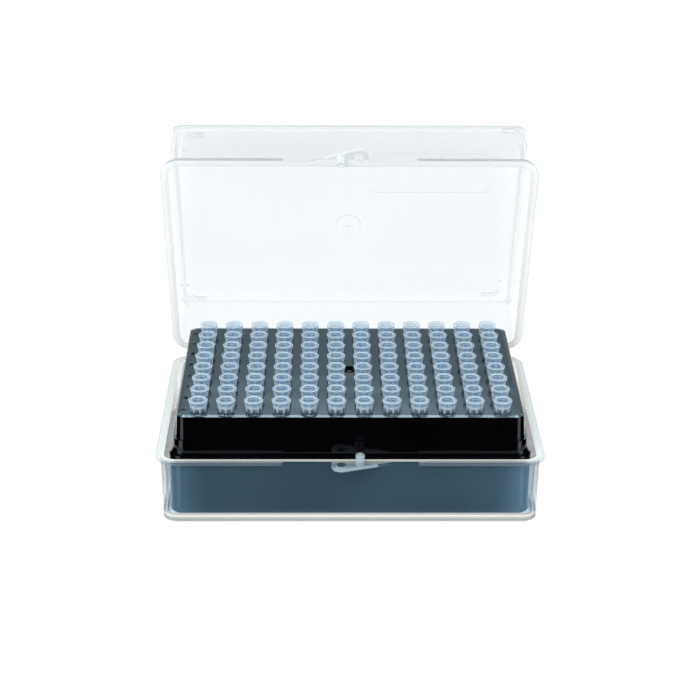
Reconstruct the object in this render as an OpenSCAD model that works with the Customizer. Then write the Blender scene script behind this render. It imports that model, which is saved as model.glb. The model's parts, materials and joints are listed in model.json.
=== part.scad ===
// Box of pipette tips: two hinged clear half shells, a tiered rack with 96
// countersunk sockets, and twelve columns of eight ribbed, hollow tips.
// Millimetres. +Z is up, +X runs along the length, the latch side faces -Y.
// The origin is the centre of the footprint, on the plane the feet stand on.

/* [Tip grid] */
// Number of columns
columns = 12; // [12]
// Number of rows
rows = 8; // [8]
// Distance between tip centres
pitch = 9; // [7.5:0.05:11]
// Length of a tip
tip_len = 31.5; // [26:0.1:38]
// Height of a tip's rim above the deck
tip_stand = 3.55; // [2.8:0.05:4.4]
// Free height between a tip's point and the panel under it
tip_clear = 6.95; // [3:0.05:12]
// Free height between the tips' rims and the shut lid
headroom = 4.05; // [1.5:0.05:10]

/* [Half shells] */
// Plan radius of the rim flange at the four corners
corner_r = 6.8; // [5.5:0.1:10]
// Thickness of the side walls
wall = 1.3; // [0.9:0.05:1.8]
// Thickness of the flat panel
panel_t = 1.35; // [0.9:0.05:2]
// How far the side walls lean in between rim and panel
draft = 0.4; // [0:0.05:1]
// Radius of the outer edge between panel and walls
edge_r = 0.4; // [0.2:0.1:1.5]
// Radius of the inner corner between panel and walls
inner_r = 0.5; // [0.2:0.1:0.8]

/* [Rim flange] */
// Reach of the flange beyond the wall
flange_reach = 1.5; // [0.8:0.1:2.5]
// Thickness of the flange
flange_t = 1.15; // [0.6:0.05:2]
// Half width of the stretch in front that has no flange
flange_gap = 22; // [16:0.5:40]
// Radius of the flange's outer edges
flange_edge_r = 0.3; // [0.1:0.05:0.5]

/* [Latch] */
// Distance of the hole and of the peg from the middle
latch_offset = 3.03; // [2.4:0.05:4]
// Distance of hole and peg from the front wall
latch_reach = 2.4; // [2:0.1:4]
// Radius of the latch tab's round end
tab_r = 3.15; // [2.5:0.05:4.5]
// Where the tab's taper runs into the wall, from the middle
tab_end = 14.3; // [9:0.1:20]
// Thickness of the tab
tab_t = 1.2; // [0.8:0.1:2]
// Diameter of the peg
peg_d = 3; // [2:0.1:3.6]
// Height of the peg above the rim plane
peg_h = 3.8; // [2.5:0.1:5]
// Radial clearance of the peg in the hole of the other half
peg_gap = 0.17; // [0.12:0.01:0.4]

/* [Stacking ridges] */
// Height of the L-shaped ridges, which are also the feet
ridge_h = 0.9; // [0.4:0.1:2]
// Width of a ridge
ridge_w = 1.3; // [0.8:0.1:2]
// Length of each leg of a ridge, from its outer corner
ridge_leg = 7.4; // [6:0.1:14]
// Radius of a ridge's outer corner
ridge_r = 4.3; // [3:0.1:5.5]
// Inset of the outer pair of ridges from the rim flange
ridge_inset = 3.9; // [3.4:0.1:6]
// Gap between an outer ridge and the inner ridge that nests in it
ridge_gap = 0.95; // [0.3:0.05:2]

/* [Moulding gate and label] */
// Diameter of the round gate dimple in the panel
gate_d = 9.2; // [6:0.1:14]
// Depth of the gate dimple
gate_depth = 0.4; // [0.2:0.1:0.8]
// Distance of the gate from the middle, towards the hinge
gate_shift = 2.6; // [0:0.1:6]
// Width of the label panel on the lid
label_w = 43; // [25:0.5:50]
// Height of the label panel
label_d = 16.8; // [10:0.2:24]
// Depth of the label panel
label_depth = 0.3; // [0.1:0.1:0.6]
// Sideways distance of the label panel from the middle
label_x = 28.6; // [26:0.1:32]
// Distance of the label panel from the middle, towards the latch
label_y = 20.6; // [14:0.1:26]

/* [Hinge] */
// Angle between the rims as the lid stands open
lid_open = 70.5; // [0:0.5:180]
// Distance of the hinge axis from the rim flange
hinge_reach = 1.7; // [1.2:0.1:3]
// Gap between the two rims when the box is shut
rim_gap = 0.2; // [0.1:0.05:0.5]
// Thickness of the hinge film
film_t = 0.4; // [0.25:0.05:0.6]
// Length of each of the two film strips
film_len = 34; // [15:1:45]
// Distance of each strip's centre from the middle
film_x = 30; // [24:1:38]
// Running clearance at the bend of the film
film_gap = 0.06; // [0.04:0.01:0.15]

/* [Rack] */
// Distance from the outer tips' centres to the deck's ends
end_margin = 7; // [4.5:0.05:10]
// Distance from the outer tips' centres to the deck's front and rear edges
side_margin = 5.75; // [4.5:0.05:8]
// Thickness of the rack's walls
rack_wall = 1.4; // [1:0.1:2]
// Thickness of the deck
deck_t = 1.8; // [1.6:0.1:2.6]
// Plan radius of the deck's corners
deck_r = 3; // [2.4:0.1:5]
// Width of the sloping margin round the deck
margin_w = 1.5; // [0.6:0.1:2]
// Drop of the sloping margin
margin_drop = 0.3; // [0.1:0.05:0.8]
// Chamfer between the margin and the upper tier's side
margin_lip = 0.15; // [0.1:0.05:0.6]
// Height of the upper tier
tier_h = 8.15; // [5:0.05:11]
// How far the upper tier widens downwards
tier_draft = 0.5; // [0:0.05:0.8]
// Ledge between the upper and the lower tier
tier_step = 0.8; // [0.4:0.1:1.5]
// Height of the lower tier
low_tier_h = 3.3; // [2:0.1:6]
// Reach of the hollow flare at the two ends
flare_x = 1.5; // [0.6:0.05:1.5]
// Reach of the hollow flare at front and rear
flare_y = 1; // [0.6:0.05:1.5]
// Radius of the hollow flare
flare_r = 3.2; // [2.5:0.1:5]
// Plan radius of the skirt's corners
skirt_r = 5; // [4:0.1:7]
// Chamfer round the outside of the skirt's foot
foot_chamfer = 0.8; // [0.6:0.1:1.5]
// Clearance between the rack's foot and the end walls
rack_gap_x = 1.1; // [0.3:0.05:2]
// Clearance between the rack's foot and the front and rear walls
rack_gap_y = 0.45; // [0.2:0.05:1]
// Wall left between the round pocket in the deck and the sockets beside it
pocket_web = 0.18; // [0.1:0.02:0.6]
// Depth of that pocket
pocket_depth = 1.2; // [0.5:0.1:1.3]

/* [Tips] */
// Diameter over the ribs of the collar
rib_d = 5.56; // [4.6:0.02:6.7]
// Reach of the rim ring beyond the ribs
ring_reach = 0.34; // [0.2:0.02:0.6]
// Height of the rim ring
ring_h = 1.1; // [0.6:0.1:1.5]
// Depth of the grooves between the ribs
rib_depth = 0.33; // [0.15:0.01:0.5]
// Wall of the collar between the ribs
collar_wall = 0.35; // [0.25:0.01:0.5]
// Width of a rib
rib_w = 0.7; // [0.4:0.05:1]
// How deep the collar sits in its socket
collar_sink = 0.35; // [0.3:0.05:1.2]
// Diameter of the shaft just under the collar
shaft_d = 3.4; // [2.8:0.05:4.1]
// Diameter of the shaft at its knee
knee_d = 2.2; // [1.8:0.05:2.6]
// Depth of the knee, as a length from the rim
knee_z = 17.5; // [12:0.5:22]
// Outer diameter at the point
point_d = 0.84; // [0.7:0.02:1.2]
// Chamfer round the mouth
mouth_lead = 0.15; // [0.05:0.05:0.4]
// Length of the straight part of the mouth
mouth_len = 3; // [2:0.1:4]
// Wall of the shaft at the knee
shaft_wall = 0.45; // [0.3:0.05:0.6]
// Wall at the point
point_wall = 0.2; // [0.1:0.02:0.25]
// Radial clearance of the collar in its socket
socket_gap = 0.15; // [0.08:0.01:0.3]
// Chamfer round the top of a socket
socket_lead = 0.15; // [0.05:0.01:0.2]
// Clearance between a tip's shoulder and its seat
seat_gap = 0.04; // [0.02:0.01:0.1]
// Radial clearance of the shaft in the bore under the seat
bore_gap = 0.25; // [0.1:0.05:0.5]
// Wall of a socket, below the deck
socket_wall = 0.85; // [0.5:0.05:1]
// Total depth of a socket, from the deck
socket_h = 3.2; // [2.9:0.1:6]

/* [Hidden] */
$fn = 64;
eps = 0.01;
lap = 0.3;

// The grid of tips sets the rack, and the rack sets the two half shells
rack_h = tip_len - tip_stand + tip_clear;
shell_h = panel_t + (rack_h + tip_stand + headroom - rim_gap) / 2;
deck_w = (columns - 1) * pitch + 2 * end_margin;
deck_d = (rows - 1) * pitch + 2 * side_margin;
tier_reach = tier_draft + tier_step;
skirt_w = deck_w + 2 * (tier_reach + flare_x);
skirt_d = deck_d + 2 * (tier_reach + flare_y);
shell_w = skirt_w + 2 * (rack_gap_x + draft + wall + flange_reach);
shell_d = skirt_d + 2 * (rack_gap_y + draft + wall + flange_reach);

// Rim and panel planes of the base, the deck, and the hinge axis
rim_z = ridge_h + shell_h;
floor_z = ridge_h + panel_t;
deck_z = floor_z + rack_h;
hinge_y = shell_d / 2 + hinge_reach;
hinge_z = rim_z + rim_gap / 2;

// Radii of the wall, measured from the centres of the corner arcs
wall_r = corner_r - flange_reach;
wall_low_r = wall_r - draft;
shell_x = shell_w / 2 - corner_r;
shell_y = shell_d / 2 - corner_r;

// Latch centres, in front of the wall
latch_y = shell_y + wall_r + latch_reach;
hole_d = peg_d + 2 * peg_gap;

// Bend of the hinge film
bend_r = rim_gap / 2 + film_t;

// Diameters of a tip and of its socket
ring_d = rib_d + 2 * ring_reach;
collar_d = rib_d - 2 * rib_depth;
mouth_d = collar_d - 2 * collar_wall;
orifice_d = point_d - 2 * point_wall;
well_d = rib_d + 2 * socket_gap;
bore_d = shaft_d + 2 * bore_gap;
socket_d = well_d + 2 * socket_wall;

// Levels of a tip, counted down from its rim
collar_z = tip_stand + collar_sink;
shoulder_z = collar_z + (rib_d - shaft_d) / 2;
tip_top = deck_z + tip_stand;
seat_drop = seat_gap * sqrt(2);

// The round pocket between the four middle sockets
pocket_d = pitch * sqrt(2) - well_d - 2 * (socket_lead + pocket_web);

// ---- Plan outlines and profiles carried round a rounded rectangle ----

// A rounded rectangle, w by d, with corner radius r
module plan(w, d, r) {
    square([w - 2 * r, d], center = true);
    square([w, d - 2 * r], center = true);
    for (x = [-1, 1], y = [-1, 1])
        translate([x * (w / 2 - r), y * (d / 2 - r)])
            circle(r = r);
}

// The profile below, in x outwards and y up, carried round the four corner
// arcs centred at (+-cx, +-cy) and along the straights between them
module carried(cx, cy) {
    corners = [[cx, cy], [-cx, cy], [-cx, -cy], [cx, -cy]];
    for (i = [0:3]) {
        translate(corners[i])
            rotate([0, 0, 90 * i])
                rotate_extrude(angle = 90)
                    children();
        side = i % 2 == 0 ? [cx, 2 * cy] : [cy, 2 * cx];
        rotate([0, 0, 90 * i])
            translate([side[0], side[1] / 2, 0])
                rotate([90, 0, 0])
                    linear_extrude(height = side[1])
                        children();
    }
}

// The same, with the middle filled between heights z0 and z1
module carried_solid(cx, cy, z0, z1) {
    carried(cx, cy)
        children();
    translate([-cx, -cy, z0])
        cube([2 * cx, 2 * cy, z1 - z0]);
}

// ---- One half shell, open at the top, as both base and lid ----

module shell_outer_profile() {
    polygon([[0, ridge_h], [wall_low_r - edge_r, ridge_h], [wall_low_r - edge_r, ridge_h + edge_r],
        [wall_low_r, ridge_h + edge_r], [wall_r, rim_z], [0, rim_z]]);
    translate([wall_low_r - edge_r, ridge_h + edge_r])
        intersection() {
            circle(r = edge_r);
            translate([0, -edge_r])
                square(edge_r);
        }
}

module shell_inner_profile() {
    low = wall_low_r - wall;
    polygon([[0, floor_z], [low - inner_r, floor_z], [low - inner_r, floor_z + inner_r],
        [low, floor_z + inner_r], [wall_r - wall, rim_z], [wall_r - wall, rim_z + 1], [0, rim_z + 1]]);
    translate([low - inner_r, floor_z + inner_r])
        intersection() {
            circle(r = inner_r);
            translate([0, -inner_r])
                square(inner_r);
        }
}

// Flange section: flat on the rim plane, with both outer edges rounded
module flange_profile() {
    inside = wall_r - wall / 2;
    low = rim_z - flange_t;
    translate([inside, low])
        square([corner_r - flange_edge_r - inside, flange_t]);
    translate([inside, low + flange_edge_r])
        square([corner_r - inside, flange_t - 2 * flange_edge_r]);
    for (z = [low + flange_edge_r, rim_z - flange_edge_r])
        translate([corner_r - flange_edge_r, z])
            circle(r = flange_edge_r);
}

// The flange, left off in front of the latch, with rounded ends there
module flange() {
    end_r = flange_reach * 0.8;
    difference() {
        carried(shell_x, shell_y)
            flange_profile();
        translate([0, 0, rim_z - flange_t - 1])
            linear_extrude(height = flange_t + 2)
                difference() {
                    translate([-flange_gap - end_r, -shell_d / 2 - 1])
                        square([2 * (flange_gap + end_r), flange_reach + 1]);
                    for (side = [-1, 1])
                        translate([side * (flange_gap + end_r), -shell_d / 2 + end_r])
                            circle(r = end_r);
                    for (side = [-1, 1])
                        translate([side * (flange_gap + end_r), -shell_d / 2 + end_r + flange_reach / 2])
                            square([2 * end_r, flange_reach], center = true);
                }
    }
}

// One L-shaped ridge at the corner (sx, sy), its legs along both edges
module ridge(sx, sy, inset) {
    w = shell_w - 2 * inset;
    d = shell_d - 2 * inset;
    linear_extrude(height = ridge_h + panel_t / 2) {
        intersection() {
            difference() {
                plan(w, d, ridge_r);
                plan(w - 2 * ridge_w, d - 2 * ridge_w, ridge_r - ridge_w);
            }
            translate([sx * w / 2, sy * d / 2])
                square(2 * (ridge_leg - ridge_w / 2), center = true);
        }
        translate([sx * (w / 2 - ridge_leg + ridge_w / 2), sy * (d - ridge_w) / 2])
            circle(d = ridge_w);
        translate([sx * (w - ridge_w) / 2, sy * (d / 2 - ridge_leg + ridge_w / 2)])
            circle(d = ridge_w);
    }
}

// Two corners carry the ridges further out and two further in, so that the
// feet of one box nest inside the ridges on the lid of the next
module ridges() {
    outer = ridge_inset;
    inner = ridge_inset + ridge_w + ridge_gap;
    ridge(-1, -1, outer);
    ridge(1, 1, outer);
    ridge(1, -1, inner);
    ridge(-1, 1, inner);
}

// Latch tab in plan: a round end about the hole, then a straight taper that
// leaves the round end as a tangent and runs into the wall
module tab_plan() {
    wall_y = -(shell_y + wall_r - wall / 2);
    centre = [-latch_offset, -latch_y];
    tip = [tab_end, -(shell_y + wall_r)];
    away = tip - centre;
    reach = norm(away);
    turn = atan2(away[1], away[0]) - acos(tab_r / reach);
    touch = centre + tab_r * [cos(turn), sin(turn)];
    translate(centre)
        circle(r = tab_r);
    polygon([[centre[0] - tab_r, wall_y], [centre[0] - tab_r, centre[1]], centre, touch, tip,
        [tab_end, wall_y]]);
}

module latch() {
    dome = peg_d * 0.2;
    dent_d = peg_d * 0.5;
    difference() {
        translate([0, 0, rim_z - tab_t])
            linear_extrude(height = tab_t)
                tab_plan();
        translate([-latch_offset, -latch_y, rim_z - tab_t - 1])
            cylinder(h = tab_t + 2, d = hole_d);
        translate([-latch_offset, -latch_y, rim_z - tab_t - eps])
            cylinder(h = 0.3, d1 = hole_d + 0.6, d2 = hole_d);
    }
    // Peg with a rounded top and a conical dent in it
    translate([latch_offset, -latch_y, rim_z - tab_t / 2])
        rotate_extrude()
            difference() {
                union() {
                    square([peg_d / 2 - dome, peg_h + tab_t / 2]);
                    square([peg_d / 2, peg_h + tab_t / 2 - dome]);
                    translate([peg_d / 2 - dome, peg_h + tab_t / 2 - dome])
                        intersection() {
                            circle(r = dome);
                            square(dome);
                        }
                }
                polygon([[0, peg_h + tab_t / 2 - dent_d], [dent_d / 2, peg_h + tab_t / 2 + eps],
                    [0, peg_h + tab_t / 2 + eps]]);
            }
}

module half_shell() {
    nub_d = gate_d * 0.22;
    difference() {
        union() {
            difference() {
                union() {
                    carried_solid(shell_x, shell_y, ridge_h, rim_z)
                        shell_outer_profile();
                    ridges();
                }
                carried_solid(shell_x, shell_y, floor_z, rim_z + 1)
                    shell_inner_profile();
            }
            // Boss that keeps the panel's thickness over the gate dimple
            translate([0, gate_shift, floor_z - lap])
                cylinder(h = lap + gate_depth, d1 = gate_d - 1.4, d2 = gate_d - 1.8);
            flange();
            latch();
        }
        translate([0, gate_shift, ridge_h - eps])
            cylinder(h = gate_depth + eps, d1 = gate_d, d2 = gate_d - 0.6);
    }
    // Broken-off sprue in the gate dimple
    translate([0, gate_shift, ridge_h + gate_depth * 0.25])
        cylinder(h = gate_depth, d1 = nub_d * 0.8, d2 = nub_d);
}

// ---- Hinge film, split at its bend ----

// One strip of film from the rear flange to the hinge axis
module film_strip(x, reach) {
    translate([x - film_len / 2, shell_d / 2 - flange_edge_r - lap, rim_z - film_t])
        cube([film_len, flange_edge_r + lap + reach, film_t]);
}

module bend(r, len) {
    translate([-len / 2, hinge_y, hinge_z])
        rotate([0, 90, 0])
            cylinder(h = len, r = r);
}

// The base's half of the film stops just clear of the bend
module base_film() {
    for (side = [-1, 1])
        difference() {
            film_strip(side * film_x, hinge_reach);
            translate([side * film_x, 0, 0])
                bend(bend_r + film_gap, film_len + 2);
        }
}

// The lid's half carries the bend itself
module lid_film() {
    for (side = [-1, 1]) {
        film_strip(side * film_x, hinge_reach);
        translate([side * film_x, 0, 0])
            bend(bend_r, film_len);
    }
}

module base() {
    color([0.86, 0.89, 0.90, 0.45]) {
        half_shell();
        base_film();
    }
}

// The lid is the same half turned end for end, then swung about the hinge
module lid() {
    color([0.88, 0.91, 0.92, 0.45])
        translate([0, hinge_y, hinge_z])
            rotate([180 - lid_open, 0, 0])
                rotate([0, 0, 180])
                    translate([0, -hinge_y, -hinge_z]) {
                        difference() {
                            half_shell();
                            translate([-label_x, -label_y, ridge_h - eps])
                                linear_extrude(height = label_depth + eps)
                                    plan(label_w, label_d, label_d / 6);
                        }
                        lid_film();
                    }
}

// ---- Rack ----

// Section of the two tiers, x from the centre of the deck's corner arc
module tiers_profile() {
    tier_z = deck_z - tier_h;
    low_r = deck_r + tier_reach;
    side_z = deck_z - margin_drop - margin_lip;
    polygon([[0, floor_z + foot_chamfer], [low_r, floor_z + foot_chamfer], [low_r, tier_z],
        [deck_r + tier_draft, tier_z], [deck_r, side_z], [deck_r - margin_lip, deck_z - margin_drop],
        [deck_r - margin_w, deck_z], [0, deck_z]]);
}

// Section of the skirt: chamfered foot, upright side, and the hollow flare
// that ends where it meets the end of the lower tier
module skirt_profile() {
    low_z = deck_z - tier_h - low_tier_h;
    steep = 15;
    flat = acos(cos(steep) - flare_x / flare_r);
    centre = [skirt_r + flare_r * cos(flat), low_z + flare_r * sin(steep)];
    brim_z = centre[1] - flare_r * sin(flat);
    difference() {
        polygon([[0, floor_z], [skirt_r - foot_chamfer, floor_z], [skirt_r, floor_z + foot_chamfer],
            [skirt_r, brim_z], [skirt_r - flare_x, low_z], [0, low_z]]);
        translate(centre)
            circle(r = flare_r);
    }
}

// The cut that leaves the rack's walls and deck, open at the foot
module rack_hollow() {
    low_z = deck_z - tier_h - low_tier_h;
    translate([0, 0, floor_z - 1])
        linear_extrude(height = low_z - flare_r / 2 - rack_wall - floor_z + 1)
            plan(skirt_w - 2 * rack_wall, skirt_d - 2 * rack_wall, skirt_r - rack_wall);
    translate([0, 0, floor_z])
        linear_extrude(height = rack_h - deck_t)
            plan(deck_w - 2 * rack_wall, deck_d - 2 * rack_wall, deck_r - rack_wall);
}

// The cut for one tip: a well for the collar, a seat for its shoulder, a bore
module socket_cut() {
    seat_top = deck_z - collar_sink + (well_d - rib_d) / 2 - seat_drop;
    seat_low = seat_top - (well_d - bore_d) / 2;
    rotate_extrude()
        polygon([[0, deck_z - socket_h - 1], [bore_d / 2, deck_z - socket_h - 1], [bore_d / 2, seat_low],
            [well_d / 2, seat_top], [well_d / 2, deck_z - socket_lead], [well_d / 2 + socket_lead, deck_z],
            [well_d / 2 + socket_lead, deck_z + 1], [0, deck_z + 1]]);
}

function tip_place(c, r) = [(c - (columns - 1) / 2) * pitch, ((rows - 1) / 2 - r) * pitch, 0];

module at_tips() {
    for (c = [0:columns - 1], r = [0:rows - 1])
        translate(tip_place(c, r))
            children();
}

module rack() {
    color([0.03, 0.03, 0.04])
        difference() {
            union() {
                difference() {
                    union() {
                        carried_solid(deck_w / 2 - deck_r, deck_d / 2 - deck_r, floor_z + foot_chamfer,
                            deck_z)
                            tiers_profile();
                        carried_solid(skirt_w / 2 - skirt_r, skirt_d / 2 - skirt_r, floor_z,
                            deck_z - tier_h - low_tier_h)
                            skirt_profile();
                    }
                    rack_hollow();
                }
                // Short sockets under the deck
                at_tips()
                    translate([0, 0, deck_z - socket_h])
                        cylinder(h = socket_h - deck_t / 2, d = socket_d);
            }
            at_tips()
                socket_cut();
            // Gate pocket with its sprue
            translate([0, 0, deck_z - pocket_depth])
                difference() {
                    cylinder(h = pocket_depth + 1, d = pocket_d);
                    cylinder(h = pocket_depth / 2, d1 = 2, d2 = 1.6);
                }
        }
}

// ---- Tips ----

// Outside of a tip without its ribs, rim at the top
module tip_core_profile() {
    lip = 0.15;
    polygon([[0, 0], [ring_d / 2 - lip, 0], [ring_d / 2, -lip], [ring_d / 2 - 0.06, -ring_h],
        [collar_d / 2, -ring_h - ring_reach], [collar_d / 2, -collar_z - (rib_d - collar_d) / 2],
        [shaft_d / 2, -shoulder_z], [knee_d / 2, -knee_z], [point_d / 2, -tip_len], [0, -tip_len]]);
}

// Envelope of the ribs: from under the ring down to the chamfered shoulder
module rib_envelope_profile() {
    polygon([[collar_d / 2 - lap, -ring_h / 2], [rib_d / 2, -ring_h / 2], [rib_d / 2, -collar_z],
        [collar_d / 2 - lap, -collar_z - (rib_d - collar_d) / 2 - lap]]);
}

// Bore: a short lead, the straight mouth, then two tapers to the orifice
module tip_bore_profile() {
    knee_bore = knee_d / 2 - shaft_wall;
    shoulder_bore = shaft_d / 2 - shaft_wall * 1.2;
    polygon([[0, 1], [mouth_d / 2 + mouth_lead, 1], [mouth_d / 2 + mouth_lead, 0],
        [mouth_d / 2, -mouth_lead], [mouth_d / 2, -mouth_lead - mouth_len],
        [shoulder_bore, -shoulder_z], [knee_bore, -knee_z],
        [orifice_d / 2, -tip_len], [orifice_d / 2, -tip_len - 1], [0, -tip_len - 1]]);
}

// A hollow tip with eight ribs round its collar
module tip() {
    difference() {
        union() {
            rotate_extrude()
                tip_core_profile();
            intersection() {
                rotate_extrude()
                    rib_envelope_profile();
                for (turn = [0:45:135])
                    rotate([0, 0, turn])
                        translate([-rib_d, -rib_w / 2, -collar_z - 2])
                            cube([2 * rib_d, rib_w, collar_z + 2]);
            }
        }
        rotate_extrude()
            tip_bore_profile();
    }
}

// One column, with each tip turned a different way, as tips drop into a rack
module tips_column(number) {
    color([0.85, 0.91, 0.96, 0.5])
        for (r = [0:rows - 1])
            translate(tip_place(number - 1, r) + [0, 0, tip_top])
                rotate([0, 0, (number * 31 + r * 17) % 45])
                    tip();
}

base();
lid();
rack();
tips_column(1);  // tips_column_01
tips_column(2);  // tips_column_02
tips_column(3);  // tips_column_03
tips_column(4);  // tips_column_04
tips_column(5);  // tips_column_05
tips_column(6);  // tips_column_06
tips_column(7);  // tips_column_07
tips_column(8);  // tips_column_08
tips_column(9);  // tips_column_09
tips_column(10);  // tips_column_10
tips_column(11);  // tips_column_11
tips_column(12);  // tips_column_12
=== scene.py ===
"""Finishes, row letters and a small studio for a box of pipette tips.

Laid out as an add-on and run as a script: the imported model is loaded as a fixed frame, each operator
makes or finishes one group of pieces, and main() calls them in order. Lengths are in metres.
"""

import json
import math

import bpy
import numpy as np
from mathutils import Matrix, Vector


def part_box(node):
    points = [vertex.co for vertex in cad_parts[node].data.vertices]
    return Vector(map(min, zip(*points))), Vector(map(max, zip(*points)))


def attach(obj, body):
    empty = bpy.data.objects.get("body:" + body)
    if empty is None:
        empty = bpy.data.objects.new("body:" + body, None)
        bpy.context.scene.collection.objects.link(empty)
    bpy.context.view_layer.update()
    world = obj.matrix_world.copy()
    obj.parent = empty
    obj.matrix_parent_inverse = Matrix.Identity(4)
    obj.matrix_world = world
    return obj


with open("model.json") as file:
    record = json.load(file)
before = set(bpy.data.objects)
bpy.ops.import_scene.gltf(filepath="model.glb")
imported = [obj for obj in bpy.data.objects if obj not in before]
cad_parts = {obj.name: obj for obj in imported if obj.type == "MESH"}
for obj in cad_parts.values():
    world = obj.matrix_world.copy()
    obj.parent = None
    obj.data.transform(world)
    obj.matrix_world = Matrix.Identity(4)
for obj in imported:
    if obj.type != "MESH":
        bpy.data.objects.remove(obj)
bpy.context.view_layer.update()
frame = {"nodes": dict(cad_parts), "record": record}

bl_info = {
    "name": "Pipette Tip Box",
    "version": (1, 0, 0),
    "blender": (4, 5, 0),
    "location": "View3D > Sidebar > Tip Box",
    "description": "Finishes a hinged box of pipette tips and sets it in a small studio",
    "category": "Object",
}

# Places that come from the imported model
RACK_LOW, RACK_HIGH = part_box("rack")
TIPS_LOW, TIPS_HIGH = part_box("tips_column_01")
TIP_COLUMNS = sorted(name for name in frame["nodes"] if name.startswith("tips_column"))
ROW_NAMES = "ABCDEFGH"

# A tip's radii at its ring, its mouth and its ribs, and the grid that the tips stand on
TIP_RING = (TIPS_HIGH.x - TIPS_LOW.x) / 2
TIP_MOUTH = 0.00225
TIP_RIB = 0.00278
TIP_PITCH = (TIPS_HIGH.y - TIPS_LOW.y - 2 * TIP_RING) / (len(ROW_NAMES) - 1)
TIP_CENTRE = (TIPS_LOW.x + TIP_RING, TIPS_LOW.y + TIP_RING)

# The half shells: each has a frame with its centre on the rim plane, a normal that points out of the
# opening, and a level direction along its depth, from latch to hinge
HINGE = frame["record"]["behaviour"]["joints"][0]
HINGE_POINT = Vector(HINGE["pos_m"])
HINGE_REACH = 0.0017
RIM_GAP = 0.0002
SHELL_DEPTH = 0.0225
PANEL = 0.00135
SHELL_FLOOR = SHELL_DEPTH - PANEL
FLANGE_REACH = 0.0015
FLANGE_THICK = 0.00115
CORNER = 0.0068
HALF_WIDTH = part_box("base")[1].x
HALF_DEPTH = HINGE_POINT.y - HINGE_REACH
OPENED = Matrix.Rotation(-math.radians(HINGE["range_deg"][0]), 3, Vector(HINGE["axis"]))
BASE_PLACE = (HINGE_POINT - Vector((0.0, HINGE_POINT.y, RIM_GAP / 2)), Vector((0.0, 0.0, 1.0)),
              Vector((0.0, 1.0, 0.0)))
LID_PLACE = (HINGE_POINT + OPENED @ Vector((0.0, -HINGE_POINT.y, RIM_GAP / 2)),
             OPENED @ Vector((0.0, 0.0, -1.0)), OPENED @ Vector((0.0, 1.0, 0.0)))

# Finish of both half shells: the tint of the light that goes through, how far the milk's share swings with
# the flow waves, and the milk in the tab's sides and in the ridges
WALL_TINT = (1.0, 1.0, 0.996)
CLOUD_SWING = 0.08
TAB_SIDE_SHARE = 0.45
RIDGE_SHARE = 0.3
RIDGE_COLOUR = (0.42, 0.53, 0.60)

# Finish of the tips: the tint of the light that goes through, and the part of their milk that the seat has
TIP_TINT = (0.985, 0.993, 1.0)
SEAT_THINNING = 0.3

# The bump under the gloss of the clear plastics, and how many times paler the black is on its waves' crests
COAT_BUMP = 0.2
CLOUD_GAIN = 1.5

# Height of a capital letter as a share of the font's size, and the letters' bevel as a share of their relief
CAPITAL_HEIGHT = 0.7
LETTER_BEVEL = 0.4

# Colours and strengths of the studio's light
WHITE = (1.0, 1.0, 1.0)
BLACK = (0.0, 0.0, 0.0)
COOL_WHITE = (0.62, 0.86, 1.0)
AMBIENT = 0.9

# The floor: half its side, how far it lies under the box, its own colour, and its glow where it is seen and
# for the light that it throws back
FLOOR_HALF = 3.0
FLOOR_DROP = 0.0002
FLOOR_PAPER = (0.10, 0.10, 0.10)
FLOOR_GLOW = 0.93
FLOOR_BOUNCE = 0.95

# The camera's sensor in millimetres, and its aim to the side of the box's middle and below the tips' tops
SENSOR_WIDTH = 36.0
AIM_ASIDE = 0.00033
AIM_BELOW_TIPS = 0.01502

# Each lamp's name, as in the settings, its place and its size
LAMPS = (("overhead", (0.0, 0.42, 0.85), (0.9, 0.45)), ("front", (-0.35, -0.75, 0.75), (0.6, 0.5)))
LAMP_TARGET = (0.0, 0.0, 0.03)


# ---- Settings ----


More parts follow.
